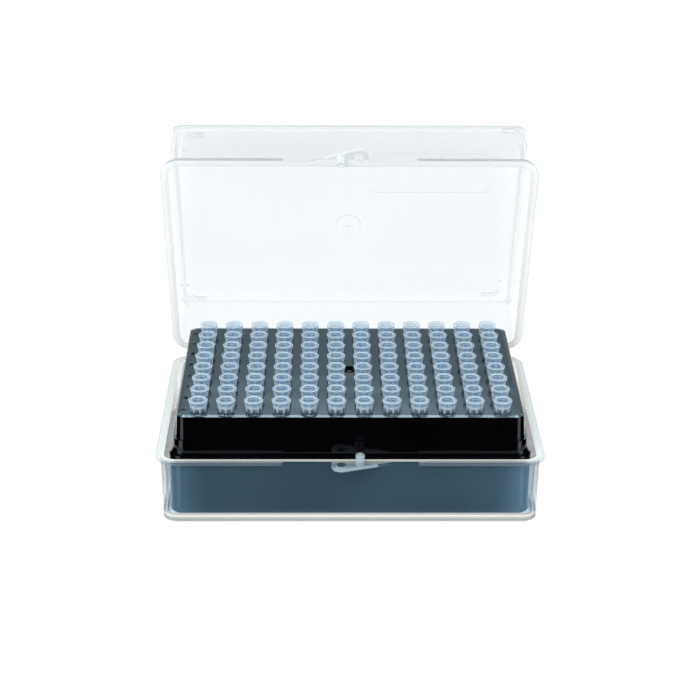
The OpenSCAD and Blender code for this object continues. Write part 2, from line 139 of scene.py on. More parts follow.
class TipBoxFinishes(bpy.types.PropertyGroup):
    """Colours and textures of the plastics"""

    haze: bpy.props.FloatVectorProperty(
        name="Wall haze", description="Colour that the milky walls scatter back",
        subtype="COLOR", default=(0.35, 0.70, 1.0), min=0.0, max=1.0)
    haze_share: bpy.props.FloatProperty(
        name="Wall share", description="Share of light that each face of a wall scatters",
        subtype="FACTOR", default=0.066, min=0.0, max=1.0)
    rim: bpy.props.FloatVectorProperty(
        name="Rim", description="Colour of the rim's flat, where the view runs down inside the plastic",
        subtype="COLOR", default=(0.68, 0.70, 0.66), min=0.0, max=1.0)
    rim_share: bpy.props.FloatProperty(
        name="Rim share", description="Share of light that the rim scatters over the wall",
        subtype="FACTOR", default=0.93, min=0.0, max=1.0)
    lid_rim_share: bpy.props.FloatProperty(
        name="Lid rim share", description="Share of light that the lid's rim scatters over the wall",
        subtype="FACTOR", default=0.75, min=0.0, max=1.0)
    flange_share: bpy.props.FloatProperty(
        name="Flange share", description="Share of light that the rim scatters over the flange",
        subtype="FACTOR", default=0.50, min=0.0, max=1.0)
    lip: bpy.props.FloatVectorProperty(
        name="Lip", description="Colour of the flange's outer edge",
        subtype="COLOR", default=(0.20, 0.26, 0.31), min=0.0, max=1.0)
    lip_share: bpy.props.FloatProperty(
        name="Lip share", description="Share of light that the flange's outer edge scatters",
        subtype="FACTOR", default=0.42, min=0.0, max=1.0)
    base_edge_share: bpy.props.FloatProperty(
        name="Base edge share", description="Share of light that the edge of the base's panel scatters",
        subtype="FACTOR", default=0.85, min=0.0, max=1.0)
    lid_edge_share: bpy.props.FloatProperty(
        name="Lid edge share", description="Share of light that the edge of the lid's panel scatters",
        subtype="FACTOR", default=0.35, min=0.0, max=1.0)
    tip_haze: bpy.props.FloatVectorProperty(
        name="Tip haze", description="Colour that the tips scatter back",
        subtype="COLOR", default=(0.29, 0.53, 0.79), min=0.0, max=1.0)
    tip_haze_share: bpy.props.FloatProperty(
        name="Tip haze share", description="Share of light that each face of the tips scatters",
        subtype="FACTOR", default=0.24, min=0.0, max=1.0)
    ring_share: bpy.props.FloatProperty(
        name="Ring share", description="Share of light that the mouth rings of the tips scatter",
        subtype="FACTOR", default=0.30, min=0.0, max=1.0)
    rack: bpy.props.FloatVectorProperty(
        name="Rack", description="Colour of the rack's black plastic",
        subtype="COLOR", default=(0.0010, 0.0008, 0.0014), min=0.0, max=1.0)


class TipBoxLetters(bpy.types.PropertyGroup):
    """Sizes of the row letters"""

    height: bpy.props.FloatProperty(
        name="Letter height", description="Height of a row letter", unit="LENGTH",
        default=0.0015, min=0.0005, max=0.003, precision=4)
    relief: bpy.props.FloatProperty(
        name="Letter relief", description="How far a row letter stands above the deck", unit="LENGTH",
        default=0.0002, min=0.00005, max=0.0005, precision=5)
    offset: bpy.props.FloatProperty(
        name="Letter offset", description="Distance from the first column's centres to the letters",
        unit="LENGTH", default=0.0048, min=0.004, max=0.006, precision=4)


class TipBoxStudio(bpy.types.PropertyGroup):
    """Camera and lamps"""

    elevation: bpy.props.FloatProperty(
        name="Elevation", description="Height angle of the camera", subtype="ANGLE",
        default=math.radians(25.2))
    turn: bpy.props.FloatProperty(
        name="Turn", description="Small turn of the camera round the box", subtype="ANGLE",
        default=math.radians(0.95))
    roll: bpy.props.FloatProperty(
        name="Roll", description="Small tilt of the camera about its own axis", subtype="ANGLE",
        default=math.radians(0.45))
    distance: bpy.props.FloatProperty(
        name="Distance", description="Distance from the camera to its target", unit="LENGTH",
        default=0.624)
    lens: bpy.props.FloatProperty(
        name="Lens", description="Focal length in millimetres", default=93.24)
    shift: bpy.props.FloatProperty(
        name="Shift", description="Upward shift of the camera's frame", default=0.0714)
    overhead: bpy.props.FloatProperty(
        name="Overhead lamp", description="Power of the lamp over the box", unit="POWER", default=3.0)
    front: bpy.props.FloatProperty(
        name="Front lamp", description="Power of the lamp in front", unit="POWER", default=6.0)


# ---- Node helpers ----


def new_group(name, inputs, outputs):
    """A shader node group with named inputs (name, kind, default) and outputs (name, kind)."""
    group = bpy.data.node_groups.new(name, "ShaderNodeTree")
    for label, kind, default in inputs:
        socket = group.interface.new_socket(label, in_out="INPUT", socket_type=kind)
        if default is not None:
            socket.default_value = default
    for label, kind in outputs:
        group.interface.new_socket(label, in_out="OUTPUT", socket_type=kind)
    return group, group.nodes.new("NodeGroupInput"), group.nodes.new("NodeGroupOutput")


def placed(tree, name, build):
    """Places a shared node group, which build makes the first time that it is asked for."""
    node = tree.nodes.new("ShaderNodeGroup")
    node.node_tree = bpy.data.node_groups.get(name) or build()
    return node


def feed(tree, socket, value):
    """Links a socket to another one, or sets it to a number, a colour or a vector."""
    if isinstance(value, bpy.types.NodeSocket):
        tree.links.new(value, socket)
    else:
        socket.default_value = value


def set_inputs(node, **values):
    """Sets a node's sockets, named with underscores for spaces."""
    for label, value in values.items():
        node.inputs[label.replace("_", " ")].default_value = value


def math_node(tree, operation, *values, clamp=False):
    """A Math node with numbers or sockets on its inputs; returns its output."""
    node = tree.nodes.new("ShaderNodeMath")
    node.operation = operation
    node.use_clamp = clamp
    for socket, value in zip(node.inputs, values):
        feed(tree, socket, value)
    return node.outputs[0]


def product(tree, first, *others):
    """The product of numbers or sockets, one Math node for each pair; returns the last output."""
    for other in others:
        first = math_node(tree, "MULTIPLY", first, other)
    return first


def vector_node(tree, operation, *values):
    """A Vector Math node with vectors or sockets on its inputs; returns the node."""
    node = tree.nodes.new("ShaderNodeVectorMath")
    node.operation = operation
    for socket, value in zip(node.inputs, values):
        feed(tree, socket, value)
    return node


def ramp(tree, value, low, high, at_low=0.0, at_high=1.0):
    """value from low to high, mapped to at_low to at_high with eased ends; returns the output."""
    node = tree.nodes.new("ShaderNodeMapRange")
    node.interpolation_type = "SMOOTHSTEP"
    tree.links.new(value, node.inputs["Value"])
    set_inputs(node, From_Min=low, From_Max=high, To_Min=at_low, To_Max=at_high)
    return node.outputs["Result"]


def blend_number(tree, factor, low, high):
    """A number that goes from low to high, each a number or a socket, as factor goes from 0 to 1."""
    node = tree.nodes.new("ShaderNodeMix")
    node.data_type = "FLOAT"
    for socket, value in ((node.inputs[0], factor), (node.inputs[2], low), (node.inputs[3], high)):
        feed(tree, socket, value)
    return node.outputs[0]


def blend_colour(tree, factor, low, high):
    """A colour that goes from low to high, each a colour or a socket, as factor goes from 0 to 1."""
    node = tree.nodes.new("ShaderNodeMix")
    node.data_type = "RGBA"
    tree.links.new(factor, node.inputs["Factor"])
    for label, value in (("A", low), ("B", high)):
        feed(tree, node.inputs[label], (*value, 1.0) if isinstance(value, tuple) else value)
    return node.outputs["Result"]


def noise(tree, vector, scale, detail):
    """A Noise Texture whose scale, a socket, is in cells per metre; returns its factor."""
    node = tree.nodes.new("ShaderNodeTexNoise")
    node.inputs["Detail"].default_value = detail
    tree.links.new(vector, node.inputs["Vector"])
    tree.links.new(scale, node.inputs["Scale"])
    return node.outputs["Fac"]


def bump(tree, height, strength, distance, normal=None):
    """A Bump node over a height in units of distance, in metres, on a normal if one is given; returns its
    own normal."""
    node = tree.nodes.new("ShaderNodeBump")
    set_inputs(node, Strength=strength, Distance=distance)
    tree.links.new(height, node.inputs["Height"])
    if normal is not None:
        tree.links.new(normal, node.inputs["Normal"])
    return node.outputs["Normal"]


def split(tree, vector):
    """A vector's X, Y and Z, as the outputs of a node."""
    parts = tree.nodes.new("ShaderNodeSeparateXYZ")
    tree.links.new(vector, parts.inputs[0])
    return parts.outputs


def mixed(tree, share, first, second):
    """A Mix Shader node that goes from first to second as share goes from 0 to 1; returns its shader."""
    node = tree.nodes.new("ShaderNodeMixShader")
    for socket, value in zip(node.inputs, (share, first, second)):
        tree.links.new(value, socket)
    return node.outputs[0]


def fresh_material(name):
    """An empty node material; returns it, its tree and its output node."""
    material = bpy.data.materials.new(name)
    material.use_nodes = True
    tree = material.node_tree
    tree.nodes.clear()
    return material, tree, tree.nodes.new("ShaderNodeOutputMaterial")


# ---- Plastics ----


def moulded_group():
    """Height, gloss and haze variation of a moulded plastic: slow flow waves and a fine peel."""
    group, given, out = new_group(
        "moulded plastic",
        [("Vector", "NodeSocketVector", None), ("Flow Scale", "NodeSocketFloat", 60.0),
         ("Peel Scale", "NodeSocketFloat", 900.0), ("Peel", "NodeSocketFloat", 0.3),
         ("Roughness", "NodeSocketFloat", 0.1), ("Spread", "NodeSocketFloat", 0.04)],
        [("Height", "NodeSocketFloat"), ("Roughness", "NodeSocketFloat"), ("Cloud", "NodeSocketFloat")])
    flow = noise(group, given.outputs["Vector"], given.outputs["Flow Scale"], 1.0)
    peel = noise(group, given.outputs["Vector"], given.outputs["Peel Scale"], 2.0)
    height = math_node(group, "ADD", flow, product(group, peel, given.outputs["Peel"]))
    swing = product(group, math_node(group, "SUBTRACT", flow, 0.5), given.outputs["Spread"])
    group.links.new(height, out.inputs["Height"])
    group.links.new(math_node(group, "ADD", given.outputs["Roughness"], swing, clamp=True),
                    out.inputs["Roughness"])
    group.links.new(ramp(group, flow, 0.3, 0.7), out.inputs["Cloud"])
    return group


def moulded(tree, flow, peel, peel_share, roughness, spread):
    """Places the moulded plastic group on Object coordinates with this material's values."""
    node = placed(tree, "moulded plastic", moulded_group)
    tree.links.new(tree.nodes.new("ShaderNodeTexCoord").outputs["Object"], node.inputs["Vector"])
    set_inputs(node, Flow_Scale=flow, Peel_Scale=peel, Peel=peel_share, Roughness=roughness, Spread=spread)
    return node


# Bands over a half shell, each from where its mark starts to where it is whole, and the values there if they
# aren't 0 and 1
SHELL_BANDS = {
    # Depth, from 0 at the rim plane to -SHELL_DEPTH at the panel's outer face
    "rim": (-0.00025, -0.00005),
    "tab depth": (-0.0018, -0.0015),
    "flange side": (-FLANGE_THICK - 0.0002, -FLANGE_THICK),
    "foot": (-SHELL_FLOOR + 0.0012, -SHELL_DEPTH + 0.0009),
    "not a ridge": (-SHELL_DEPTH - 0.0001, -SHELL_DEPTH + 0.0001),
    "past edge start": (0.0001, -0.0001),
    # Distance out of the flange's outline
    "tab reach": (0.0002, 0.0004),
    "flange": (-FLANGE_REACH - 0.0003, -FLANGE_REACH + 0.0003),
    "lip": (-0.00045, -0.0002),
    "border": (-FLANGE_REACH - 0.0030, -FLANGE_REACH - 0.0020),
    # Length from latch to hinge
    "latch wall": (0.006 - HALF_DEPTH, 0.012 - HALF_DEPTH, 1.0, 0.0),
    "hinge wall": (HALF_DEPTH - 0.012, HALF_DEPTH - 0.006, 0.0, 0.3),
    "clear of hinge wall": (HALF_DEPTH - 0.004, HALF_DEPTH - 0.002, 1.0, 0.0),
    # Width from the middle
    "clear of latch": (0.016, 0.018),
    "wide": (0.025, HALF_WIDTH, 1.0, 1.3),
    # Width past the straight part of the flange
    "close to end": (-0.010, 0.001, 1.0, 1.6),
    # Length past the straight part of the flange, less the width past it
    "latch and hinge sides": (-0.002, 0.003, 0.25, 1.0),
    # How much of a face's normal lies along the shell's normal
    "across": (0.55, 0.9, 1.0, 0.0),
}


def shell_group():
    """Marks on a half shell, from its own frame: rim, flange, lip, panel edge, ridges, latch tab and walls.

    depth is the dot product of the place and the normal. outline is the distance from the rounded
    rectangle round the flange: for q, the place's absolute value less the straight half lengths, it is the
    length of q where positive, plus the larger part of q where both are negative, less the corner radius.
    across is 1 on faces that stand square to the rim plane and 0 on those that lie in it."""
    marks = ("Rim", "Flange", "Lip", "Edge", "Foot", "Ridge", "Tab", "Wall", "Ends")
    group, given, out = new_group(
        "half shell",
        [("Vector", "NodeSocketVector", None), ("Face", "NodeSocketVector", None),
         ("Centre", "NodeSocketVector", None), ("Normal", "NodeSocketVector", (0.0, 0.0, 1.0)),
         ("Along", "NodeSocketVector", (0.0, 1.0, 0.0)), ("Edge Start", "NodeSocketFloat", 0.0)],
        [(mark, "NodeSocketFloat") for mark in marks])

    def dot(first, label):
        return vector_node(group, "DOT_PRODUCT", first, given.outputs[label]).outputs["Value"]

    def band(value, name):
        return ramp(group, value, *SHELL_BANDS[name])

    def calc(operation, *values):
        return math_node(group, operation, *values)

    place = vector_node(group, "SUBTRACT", given.outputs["Vector"], given.outputs["Centre"]).outputs[0]
    depth, along, facing = dot(place, "Normal"), dot(place, "Along"), dot(given.outputs["Face"], "Normal")
    width = calc("ABSOLUTE", split(group, place)["X"])
    side = calc("SUBTRACT", width, HALF_WIDTH - CORNER)
    end = calc("SUBTRACT", calc("ABSOLUTE", along), HALF_DEPTH - CORNER)
    corner = group.nodes.new("ShaderNodeCombineXYZ")
    group.links.new(calc("MAXIMUM", side, 0.0), corner.inputs[0])
    group.links.new(calc("MAXIMUM", end, 0.0), corner.inputs[1])
    beyond = vector_node(group, "LENGTH", corner.outputs[0]).outputs["Value"]
    within = calc("MINIMUM", calc("MAXIMUM", side, end), 0.0)
    outline = calc("SUBTRACT", calc("ADD", beyond, within), CORNER)

    across = band(calc("ABSOLUTE", facing), "across")
    tab = product(group, band(outline, "tab reach"), band(depth, "tab depth"))
    lip = product(group, band(outline, "lip"), band(depth, "flange side"))
    sides = product(group, band(calc("SUBTRACT", end, side), "latch and hinge sides"),
                    band(width, "clear of latch"))
    below = calc("SUBTRACT", calc("ADD", depth, SHELL_FLOOR), given.outputs["Edge Start"])
    low = band(below, "past edge start")
    border = product(group, band(outline, "border"), band(depth, "not a ridge"))
    inner = product(group, low, calc("SUBTRACT", 1.0, border))
    latch_and_hinge = calc("ADD", band(along, "latch wall"), band(along, "hinge wall"))
    values = {
        "Rim": calc("MAXIMUM", band(depth, "rim"), tab),
        "Flange": band(outline, "flange"),
        "Lip": product(group, lip, sides),
        "Edge": product(group, low, border, band(along, "clear of hinge wall")),
        "Foot": band(depth, "foot"),
        "Ridge": product(group, inner, across),
        "Tab": tab,
        "Wall": product(group, across, latch_and_hinge),
        "Ends": product(group, band(width, "wide"), band(side, "close to end")),
    }
    for mark in marks:
        group.links.new(values[mark], out.inputs[mark])
    return group


def shell_marks(tree, place, edge_start):
    """Places the half shell group in the frame of one half shell."""
    node = placed(tree, "half shell", shell_group)
    where = tree.nodes.new("ShaderNodeTexCoord")
    tree.links.new(where.outputs["Object"], node.inputs["Vector"])
    tree.links.new(where.outputs["Normal"], node.inputs["Face"])
    centre, normal, along = place
    set_inputs(node, Centre=centre, Normal=normal, Along=along, Edge_Start=edge_start)
    return node


def thin_fresnel(tree, ior):
    """Fresnel reflectance that is the same where light goes in and where it comes out, for walls that the
    view passes straight through. The Fresnel node turns the index over on back faces, so there it goes in
    turned over already."""
    side = tree.nodes.new("ShaderNodeNewGeometry")
    node = tree.nodes.new("ShaderNodeFresnel")
    index = blend_number(tree, side.outputs["Backfacing"], ior, 1.0 / ior)
    tree.links.new(index, node.inputs["IOR"])
    return node.outputs[0]


def coated(tree, share, colour, tint, skin, ior, dent):
    """Clear plastic with a share of milk of a colour in it, under Fresnel gloss; returns the shader."""
    passing = tree.nodes.new("ShaderNodeBsdfTransparent")
    passing.inputs["Color"].default_value = (*tint, 1.0)
    milk = tree.nodes.new("ShaderNodeBsdfPrincipled")
    set_inputs(milk, IOR=ior, Roughness=0.5, Specular_IOR_Level=0.0)
    tree.links.new(colour, milk.inputs["Base Color"])
    gloss = tree.nodes.new("ShaderNodeBsdfAnisotropic")
    tree.links.new(skin.outputs["Roughness"], gloss.inputs["Roughness"])
    tree.links.new(bump(tree, skin.outputs["Height"], COAT_BUMP, dent), gloss.inputs["Normal"])
    body = mixed(tree, share, passing.outputs[0], milk.outputs[0])
    return mixed(tree, thin_fresnel(tree, ior), body, gloss.outputs[0])


def slanting(tree, low, high):
    """How far the view runs along a surface: 0 where the Layer Weight's facing is low, 1 where it is high."""
    view = tree.nodes.new("ShaderNodeLayerWeight")
    view.inputs["Blend"].default_value = 0.5
    return ramp(tree, view.outputs["Facing"], low, high)


def milky_plastic(name, place, look, half):
    """Thin milky plastic: most light goes straight through a wall, a little is scattered, and where the view
    runs along inside the plastic, at the rim, the flange and the panel's edge, much more is. half holds the
    shares and colours of one half shell, and each mark lies over those before it."""
    material, tree, out = fresh_material(name)
    skin = moulded(tree, flow=22.0, peel=300.0, peel_share=0.03, roughness=0.10, spread=0.05)
    mark = shell_marks(tree, place, half["edge_start"]).outputs
    slant = slanting(tree, 0.45, 0.97)
    share = ramp(tree, skin.outputs["Cloud"], 0.0, 1.0,
                 look.haze_share * (1.0 - CLOUD_SWING), look.haze_share * (1.0 + CLOUD_SWING))
    share = product(tree, share, blend_number(tree, half["ends"], 1.0, mark["Ends"]))
    share = blend_number(tree, slant, share, half["slant_share"])
    tab_share = blend_number(tree, mark["Wall"], half["tab_share"], TAB_SIDE_SHARE)
    rim_share = blend_number(tree, mark["Flange"], half["rim_share"], half["flange_share"])
    rim_share = blend_number(tree, mark["Tab"], rim_share, tab_share)
    edge = blend_colour(tree, mark["Foot"], half["edge"], half["foot"])
    colour = blend_colour(tree, mark["Wall"], tuple(look.haze), half["wall"])
    colour = blend_colour(tree, slant, colour, half["slant"])
    rim = blend_colour(tree, mark["Flange"], half["rim"], half["flange"])
    rim = blend_colour(tree, mark["Tab"], rim, half["tab"])
    for label, part_share, part_colour in (
            ("Rim", rim_share, rim), ("Lip", look.lip_share, tuple(look.lip)),
            ("Ridge", RIDGE_SHARE, RIDGE_COLOUR), ("Edge", half["edge_share"], edge)):
        share = blend_number(tree, mark[label], share, part_share)
        colour = blend_colour(tree, mark[label], colour, part_colour)
    shader = coated(tree, share, colour, WALL_TINT, skin, ior=1.33, dent=0.00005)
    tree.links.new(shader, out.inputs["Surface"])
    return material


# Bands over a tip, as for the half shells
TIP_BANDS = {
    # Distance from the tip's axis
    # The first two bands mark the painted highlights along the ring's outer and inner edges
    "outer edge highlight": (TIP_RING - 0.00018, TIP_RING - 0.00010),
    "inner edge highlight": (TIP_MOUTH + 0.00012, TIP_MOUTH + 0.00004),
    "outside": (TIP_MOUTH + 0.00005, TIP_MOUTH + 0.00020),
    "rib": (TIP_RIB - 0.00020, TIP_RIB - 0.00008),
    # Height
    "top": (TIPS_HIGH.z - 0.00025, TIPS_HIGH.z - 0.00015),
    "ring": (TIPS_HIGH.z - 0.0013, TIPS_HIGH.z - 0.0010),
    "shoulder bottom": (RACK_HIGH.z + 0.0008, RACK_HIGH.z + 0.0011),
    "shoulder top": (RACK_HIGH.z + 0.0020, RACK_HIGH.z + 0.0017),
    "over the seat": (RACK_HIGH.z - 0.0002, RACK_HIGH.z + 0.0003),
}


def tip_plastic(name, look):
    """Clear plastic of the tips: a faint blue milk that thickens where the view runs along a wall, thin in
    the seat, with a pale shoulder and painted highlights: pale lines along the two edges of the ring's top,
    where its rounded edges would catch the light. The distance from a tip's axis is the length of a place
    that is wrapped into one cell of the grid of tips. Each mark lies over those before it."""
    material, tree, out = fresh_material(name)
    skin = moulded(tree, flow=160.0, peel=2240.0, peel_share=0.2, roughness=0.08, spread=0.05)
    parts = split(tree, tree.nodes.new("ShaderNodeTexCoord").outputs["Object"])
    cell = tree.nodes.new("ShaderNodeCombineXYZ")
    for axis in range(2):
        off = math_node(tree, "SUBTRACT", parts[axis], TIP_CENTRE[axis])
        tree.links.new(math_node(tree, "WRAP", off, TIP_PITCH / 2, -TIP_PITCH / 2), cell.inputs[axis])
    radius = vector_node(tree, "LENGTH", cell.outputs[0]).outputs["Value"]
    height = parts["Z"]

    def band(value, label):
        return ramp(tree, value, *TIP_BANDS[label])

    along = slanting(tree, 0.4, 0.9)
    rib = band(radius, "rib")
    outside = band(radius, "outside")
    ring = product(tree, band(height, "ring"), outside)
    shoulder = product(tree, band(height, "shoulder bottom"), band(height, "shoulder top"), outside)
    top = band(height, "top")
    # Painted highlight: pale lines along the outer and inner edges of the ring's top
    edges = math_node(tree, "MAXIMUM", band(radius, "outer edge highlight"), band(radius, "inner edge highlight"))
    line = product(tree, edges, top)
    pale = math_node(tree, "MAXIMUM", along, math_node(tree, "MAXIMUM", rib, shoulder))
    share = blend_number(tree, band(height, "over the seat"), look.tip_haze_share * SEAT_THINNING,
                         look.tip_haze_share)
    # line is the painted highlight on the ring's edges: it gets the largest share of milk
    for mark, mark_share in ((rib, 0.42), (shoulder, 0.55), (ring, look.ring_share), (along, 0.5),
                             (top, 0.38), (line, 0.64)):
        share = blend_number(tree, mark, share, mark_share)
    colour = tuple(look.tip_haze)
    # line paints the ring's edge highlight in a pale colour
    for mark, mark_colour in ((pale, (0.74, 0.86, 0.94)), (ring, (0.46, 0.65, 0.79)),
                              (top, (0.37, 0.53, 0.64)), (line, (0.73, 0.85, 0.92))):
        colour = blend_colour(tree, mark, colour, mark_colour)
    shader = coated(tree, share, colour, TIP_TINT, skin, ior=1.45, dent=0.00002)
    tree.links.new(shader, out.inputs["Surface"])
    return material


def black_plastic(name, colour):
    """Glossy black plastic with rounded edges, faint flow waves and a fine peel."""
    material, tree, out = fresh_material(name)
    skin = moulded(tree, flow=45.0, peel=1400.0, peel_share=0.012, roughness=0.10, spread=0.04)
    body = tree.nodes.new("ShaderNodeBsdfPrincipled")
    set_inputs(body, IOR=1.5, Specular_Tint=(0.84, 0.94, 1.0, 1.0))
    paler = tuple(c * CLOUD_GAIN for c in colour)
    tree.links.new(blend_colour(tree, skin.outputs["Cloud"], tuple(colour), paler), body.inputs["Base Color"])
    tree.links.new(skin.outputs["Roughness"], body.inputs["Roughness"])
    rounded = tree.nodes.new("ShaderNodeBevel")
    rounded.samples = 4
    rounded.inputs["Radius"].default_value = 0.0004
    normal = bump(tree, skin.outputs["Height"], strength=0.35, distance=0.0004, normal=rounded.outputs[0])
    tree.links.new(normal, body.inputs["Normal"])
    tree.links.new(body.outputs[0], out.inputs["Surface"])
    return material


def finish_node(name, material):
    """Gives a CAD node its finish."""
    node = frame["nodes"][name]
    for slot in node.material_slots:
        slot.material = material
    if not node.material_slots:
        node.data.materials.append(material)


# ---- Pieces ----


class TIPBOX_OT_shells(bpy.types.Operator):
    """Gives the base and the lid their clear, faintly milky plastic"""

    bl_idname = "tipbox.shells"
    bl_label = "Finish Shells"

    def execute(self, context):
        look = context.scene.tipbox_finishes
        base = {"wall": tuple(look.haze), "ends": 1.0,
                "slant": (0.76, 0.86, 0.92), "slant_share": 0.14,
                "rim": tuple(look.rim), "rim_share": look.rim_share,
                "flange": (0.52, 0.56, 0.56), "flange_share": look.flange_share,
                "tab": (0.50, 0.65, 0.76), "tab_share": 0.25,
                "edge": (0.84, 0.81, 0.75), "foot": (0.34, 0.38, 0.36),
                "edge_share": look.base_edge_share, "edge_start": 0.0012}
        lid = {"wall": (0.28, 0.29, 0.34), "ends": 0.0,
               "slant": (0.85, 0.88, 0.88), "slant_share": 0.06,
               "rim": (0.77, 0.81, 0.80), "rim_share": look.lid_rim_share,
               "flange": (0.87, 0.91, 0.92), "flange_share": 0.6,
               "tab": (0.70, 0.77, 0.82), "tab_share": 0.22,
               "edge": (0.26, 0.30, 0.30), "foot": (0.26, 0.31, 0.33),
               "edge_share": look.lid_edge_share, "edge_start": -0.0001}
        finish_node("base", milky_plastic("base_clear", BASE_PLACE, look, base))
        finish_node("lid", milky_plastic("lid_clear", LID_PLACE, look, lid))
        return {"FINISHED"}


class TIPBOX_OT_rack(bpy.types.Operator):
    """Gives the rack its glossy black plastic"""

    bl_idname = "tipbox.rack"
    bl_label = "Finish Rack"

    def execute(self, context):
        finish_node("rack", black_plastic("rack_black", context.scene.tipbox_finishes.rack))
        return {"FINISHED"}


class TIPBOX_OT_tips(bpy.types.Operator):
    """Gives the tips their clear plastic"""

    bl_idname = "tipbox.tips"
    bl_label = "Finish Tips"

    def execute(self, context):
        plastic = tip_plastic("tip_clear", context.scene.tipbox_finishes)
        for name in TIP_COLUMNS:
            finish_node(name, plastic)
        return {"FINISHED"}


def raised_letter(letter, sizes):
    """The mesh of one letter, centred on the origin: its outline carried up by the relief, with a small
    bevel."""
    text = bpy.data.curves.new("letter", "FONT")
    text.body = letter
    text.size = sizes.height / CAPITAL_HEIGHT
    text.align_x, text.align_y = "CENTER", "CENTER"
    text.extrude = sizes.relief
    text.bevel_depth = sizes.relief * LETTER_BEVEL
    text.offset = -text.bevel_depth / 2
    holder = bpy.data.objects.new("letter", text)
    mesh = bpy.data.meshes.new_from_object(holder)
    bpy.data.objects.remove(holder)
    bpy.data.curves.remove(text)
    return mesh


class TIPBOX_OT_row_letters(bpy.types.Operator):
    """Moulds a raised letter beside each row of tips"""

    bl_idname = "tipbox.row_letters"
    bl_label = "Row Letters"

    def execute(self, context):
        sizes = context.scene.tipbox_letters
        rows = np.linspace(TIPS_HIGH.y - TIP_RING, TIPS_LOW.y + TIP_RING, len(ROW_NAMES))
        corners, faces, first = [], [], 0
        for letter, row_y in zip(ROW_NAMES, rows):
            mesh = raised_letter(letter, sizes)
            mesh.transform(Matrix.Translation((TIP_CENTRE[0] - sizes.offset, row_y, RACK_HIGH.z)))
            co = np.empty(len(mesh.vertices) * 3)
            mesh.vertices.foreach_get("co", co)
            loops = np.empty(len(mesh.loops), dtype=np.int32)
            mesh.loops.foreach_get("vertex_index", loops)
            counts = np.empty(len(mesh.polygons), dtype=np.int32)
            mesh.polygons.foreach_get("loop_total", counts)
            corners.append(co.reshape(-1, 3))
            faces += [face.tolist() for face in np.split(loops + first, np.cumsum(counts)[:-1])]
            first += len(mesh.vertices)
            bpy.data.meshes.remove(mesh)
        mesh = bpy.data.meshes.new("row_letters")
        mesh.from_pydata(np.concatenate(corners).tolist(), [], faces)
        mesh.materials.append(bpy.data.materials["rack_black"])
        letters = bpy.data.objects.new("row_letters", mesh)
        context.scene.collection.objects.link(letters)
        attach(letters, "base")
        return {"FINISHED"}


# ---- Studio ----


# Bands over the level directions, as for the half shells, from 1 in front of the box to -1 behind it
LEVEL_BANDS = {
    "clear of dark front": (0.83, 0.91, 1.0, 0.0),
    "bright sides": (0.35, 0.55),
    "white paper behind": (-0.85, -0.6, 1.0, 0.0),
}


def surroundings_group():
    """Light that reflections meet in a direction given by its place on a sphere or on the floor.

    front is the dot product of the level direction's unit vector and -Y. The front is dark, with bright sides
    next to it, a dark part behind them, and white paper behind the box."""
    group, given, out = new_group(
        "surroundings", [("Vector", "NodeSocketVector", None), ("Sides", "NodeSocketFloat", 1.6),
                         ("Behind", "NodeSocketFloat", 1.0)],
        [("Light", "NodeSocketFloat")])
    flat = vector_node(group, "MULTIPLY", given.outputs["Vector"], (1.0, 1.0, 0.0)).outputs[0]
    unit = vector_node(group, "NORMALIZE", flat).outputs[0]
    front = vector_node(group, "DOT_PRODUCT", unit, (0.0, -1.0, 0.0)).outputs["Value"]
    clear, bright, paper = (ramp(group, front, *band) for band in LEVEL_BANDS.values())
    sides = product(group, clear, bright, given.outputs["Sides"])
    behind = product(group, paper, given.outputs["Behind"])
    group.links.new(math_node(group, "ADD", sides, behind), out.inputs["Light"])
    return group


def surroundings(tree, vector, sides, behind):
    """Places the surroundings group on a vector; returns its light."""
    node = placed(tree, "surroundings", surroundings_group)
    tree.links.new(vector, node.inputs["Vector"])
    set_inputs(node, Sides=sides, Behind=behind)
    return node.outputs["Light"]


def seen_straight(tree):
    """1 for rays from the camera or through clear plastic, and the Light Path node's outputs."""
    rays = tree.nodes.new("ShaderNodeLightPath").outputs
    return math_node(tree, "MAXIMUM", rays["Is Camera Ray"], rays["Is Transmission Ray"]), rays


# Bands over the world, as for the half shells, by the height of a direction's unit vector
SKY_BANDS = {
    "foot": (0.22, 0.34, 1.4, 0.0),
    "horizon": (0.415, 0.45, 0.8, 3.6),
    "over the horizon": (0.50, 0.56, 1.0, 0.35),
    "softbox foot": (0.60, 0.68, 0.0, 14.0),
    "softbox head": (0.77, 0.80, 1.0, 0.0),
    "ceiling": (0.77, 0.82, 1.0, 0.06),
    "zenith": (0.90, 0.97, 1.0, 0.1),
    "cool foot": (0.2, 0.38),
    "cool head": (0.76, 0.82, 1.0, 0.0),
}
SOFTBOX_SIDE = (0.12, 0.25, 1.0, 0.0)


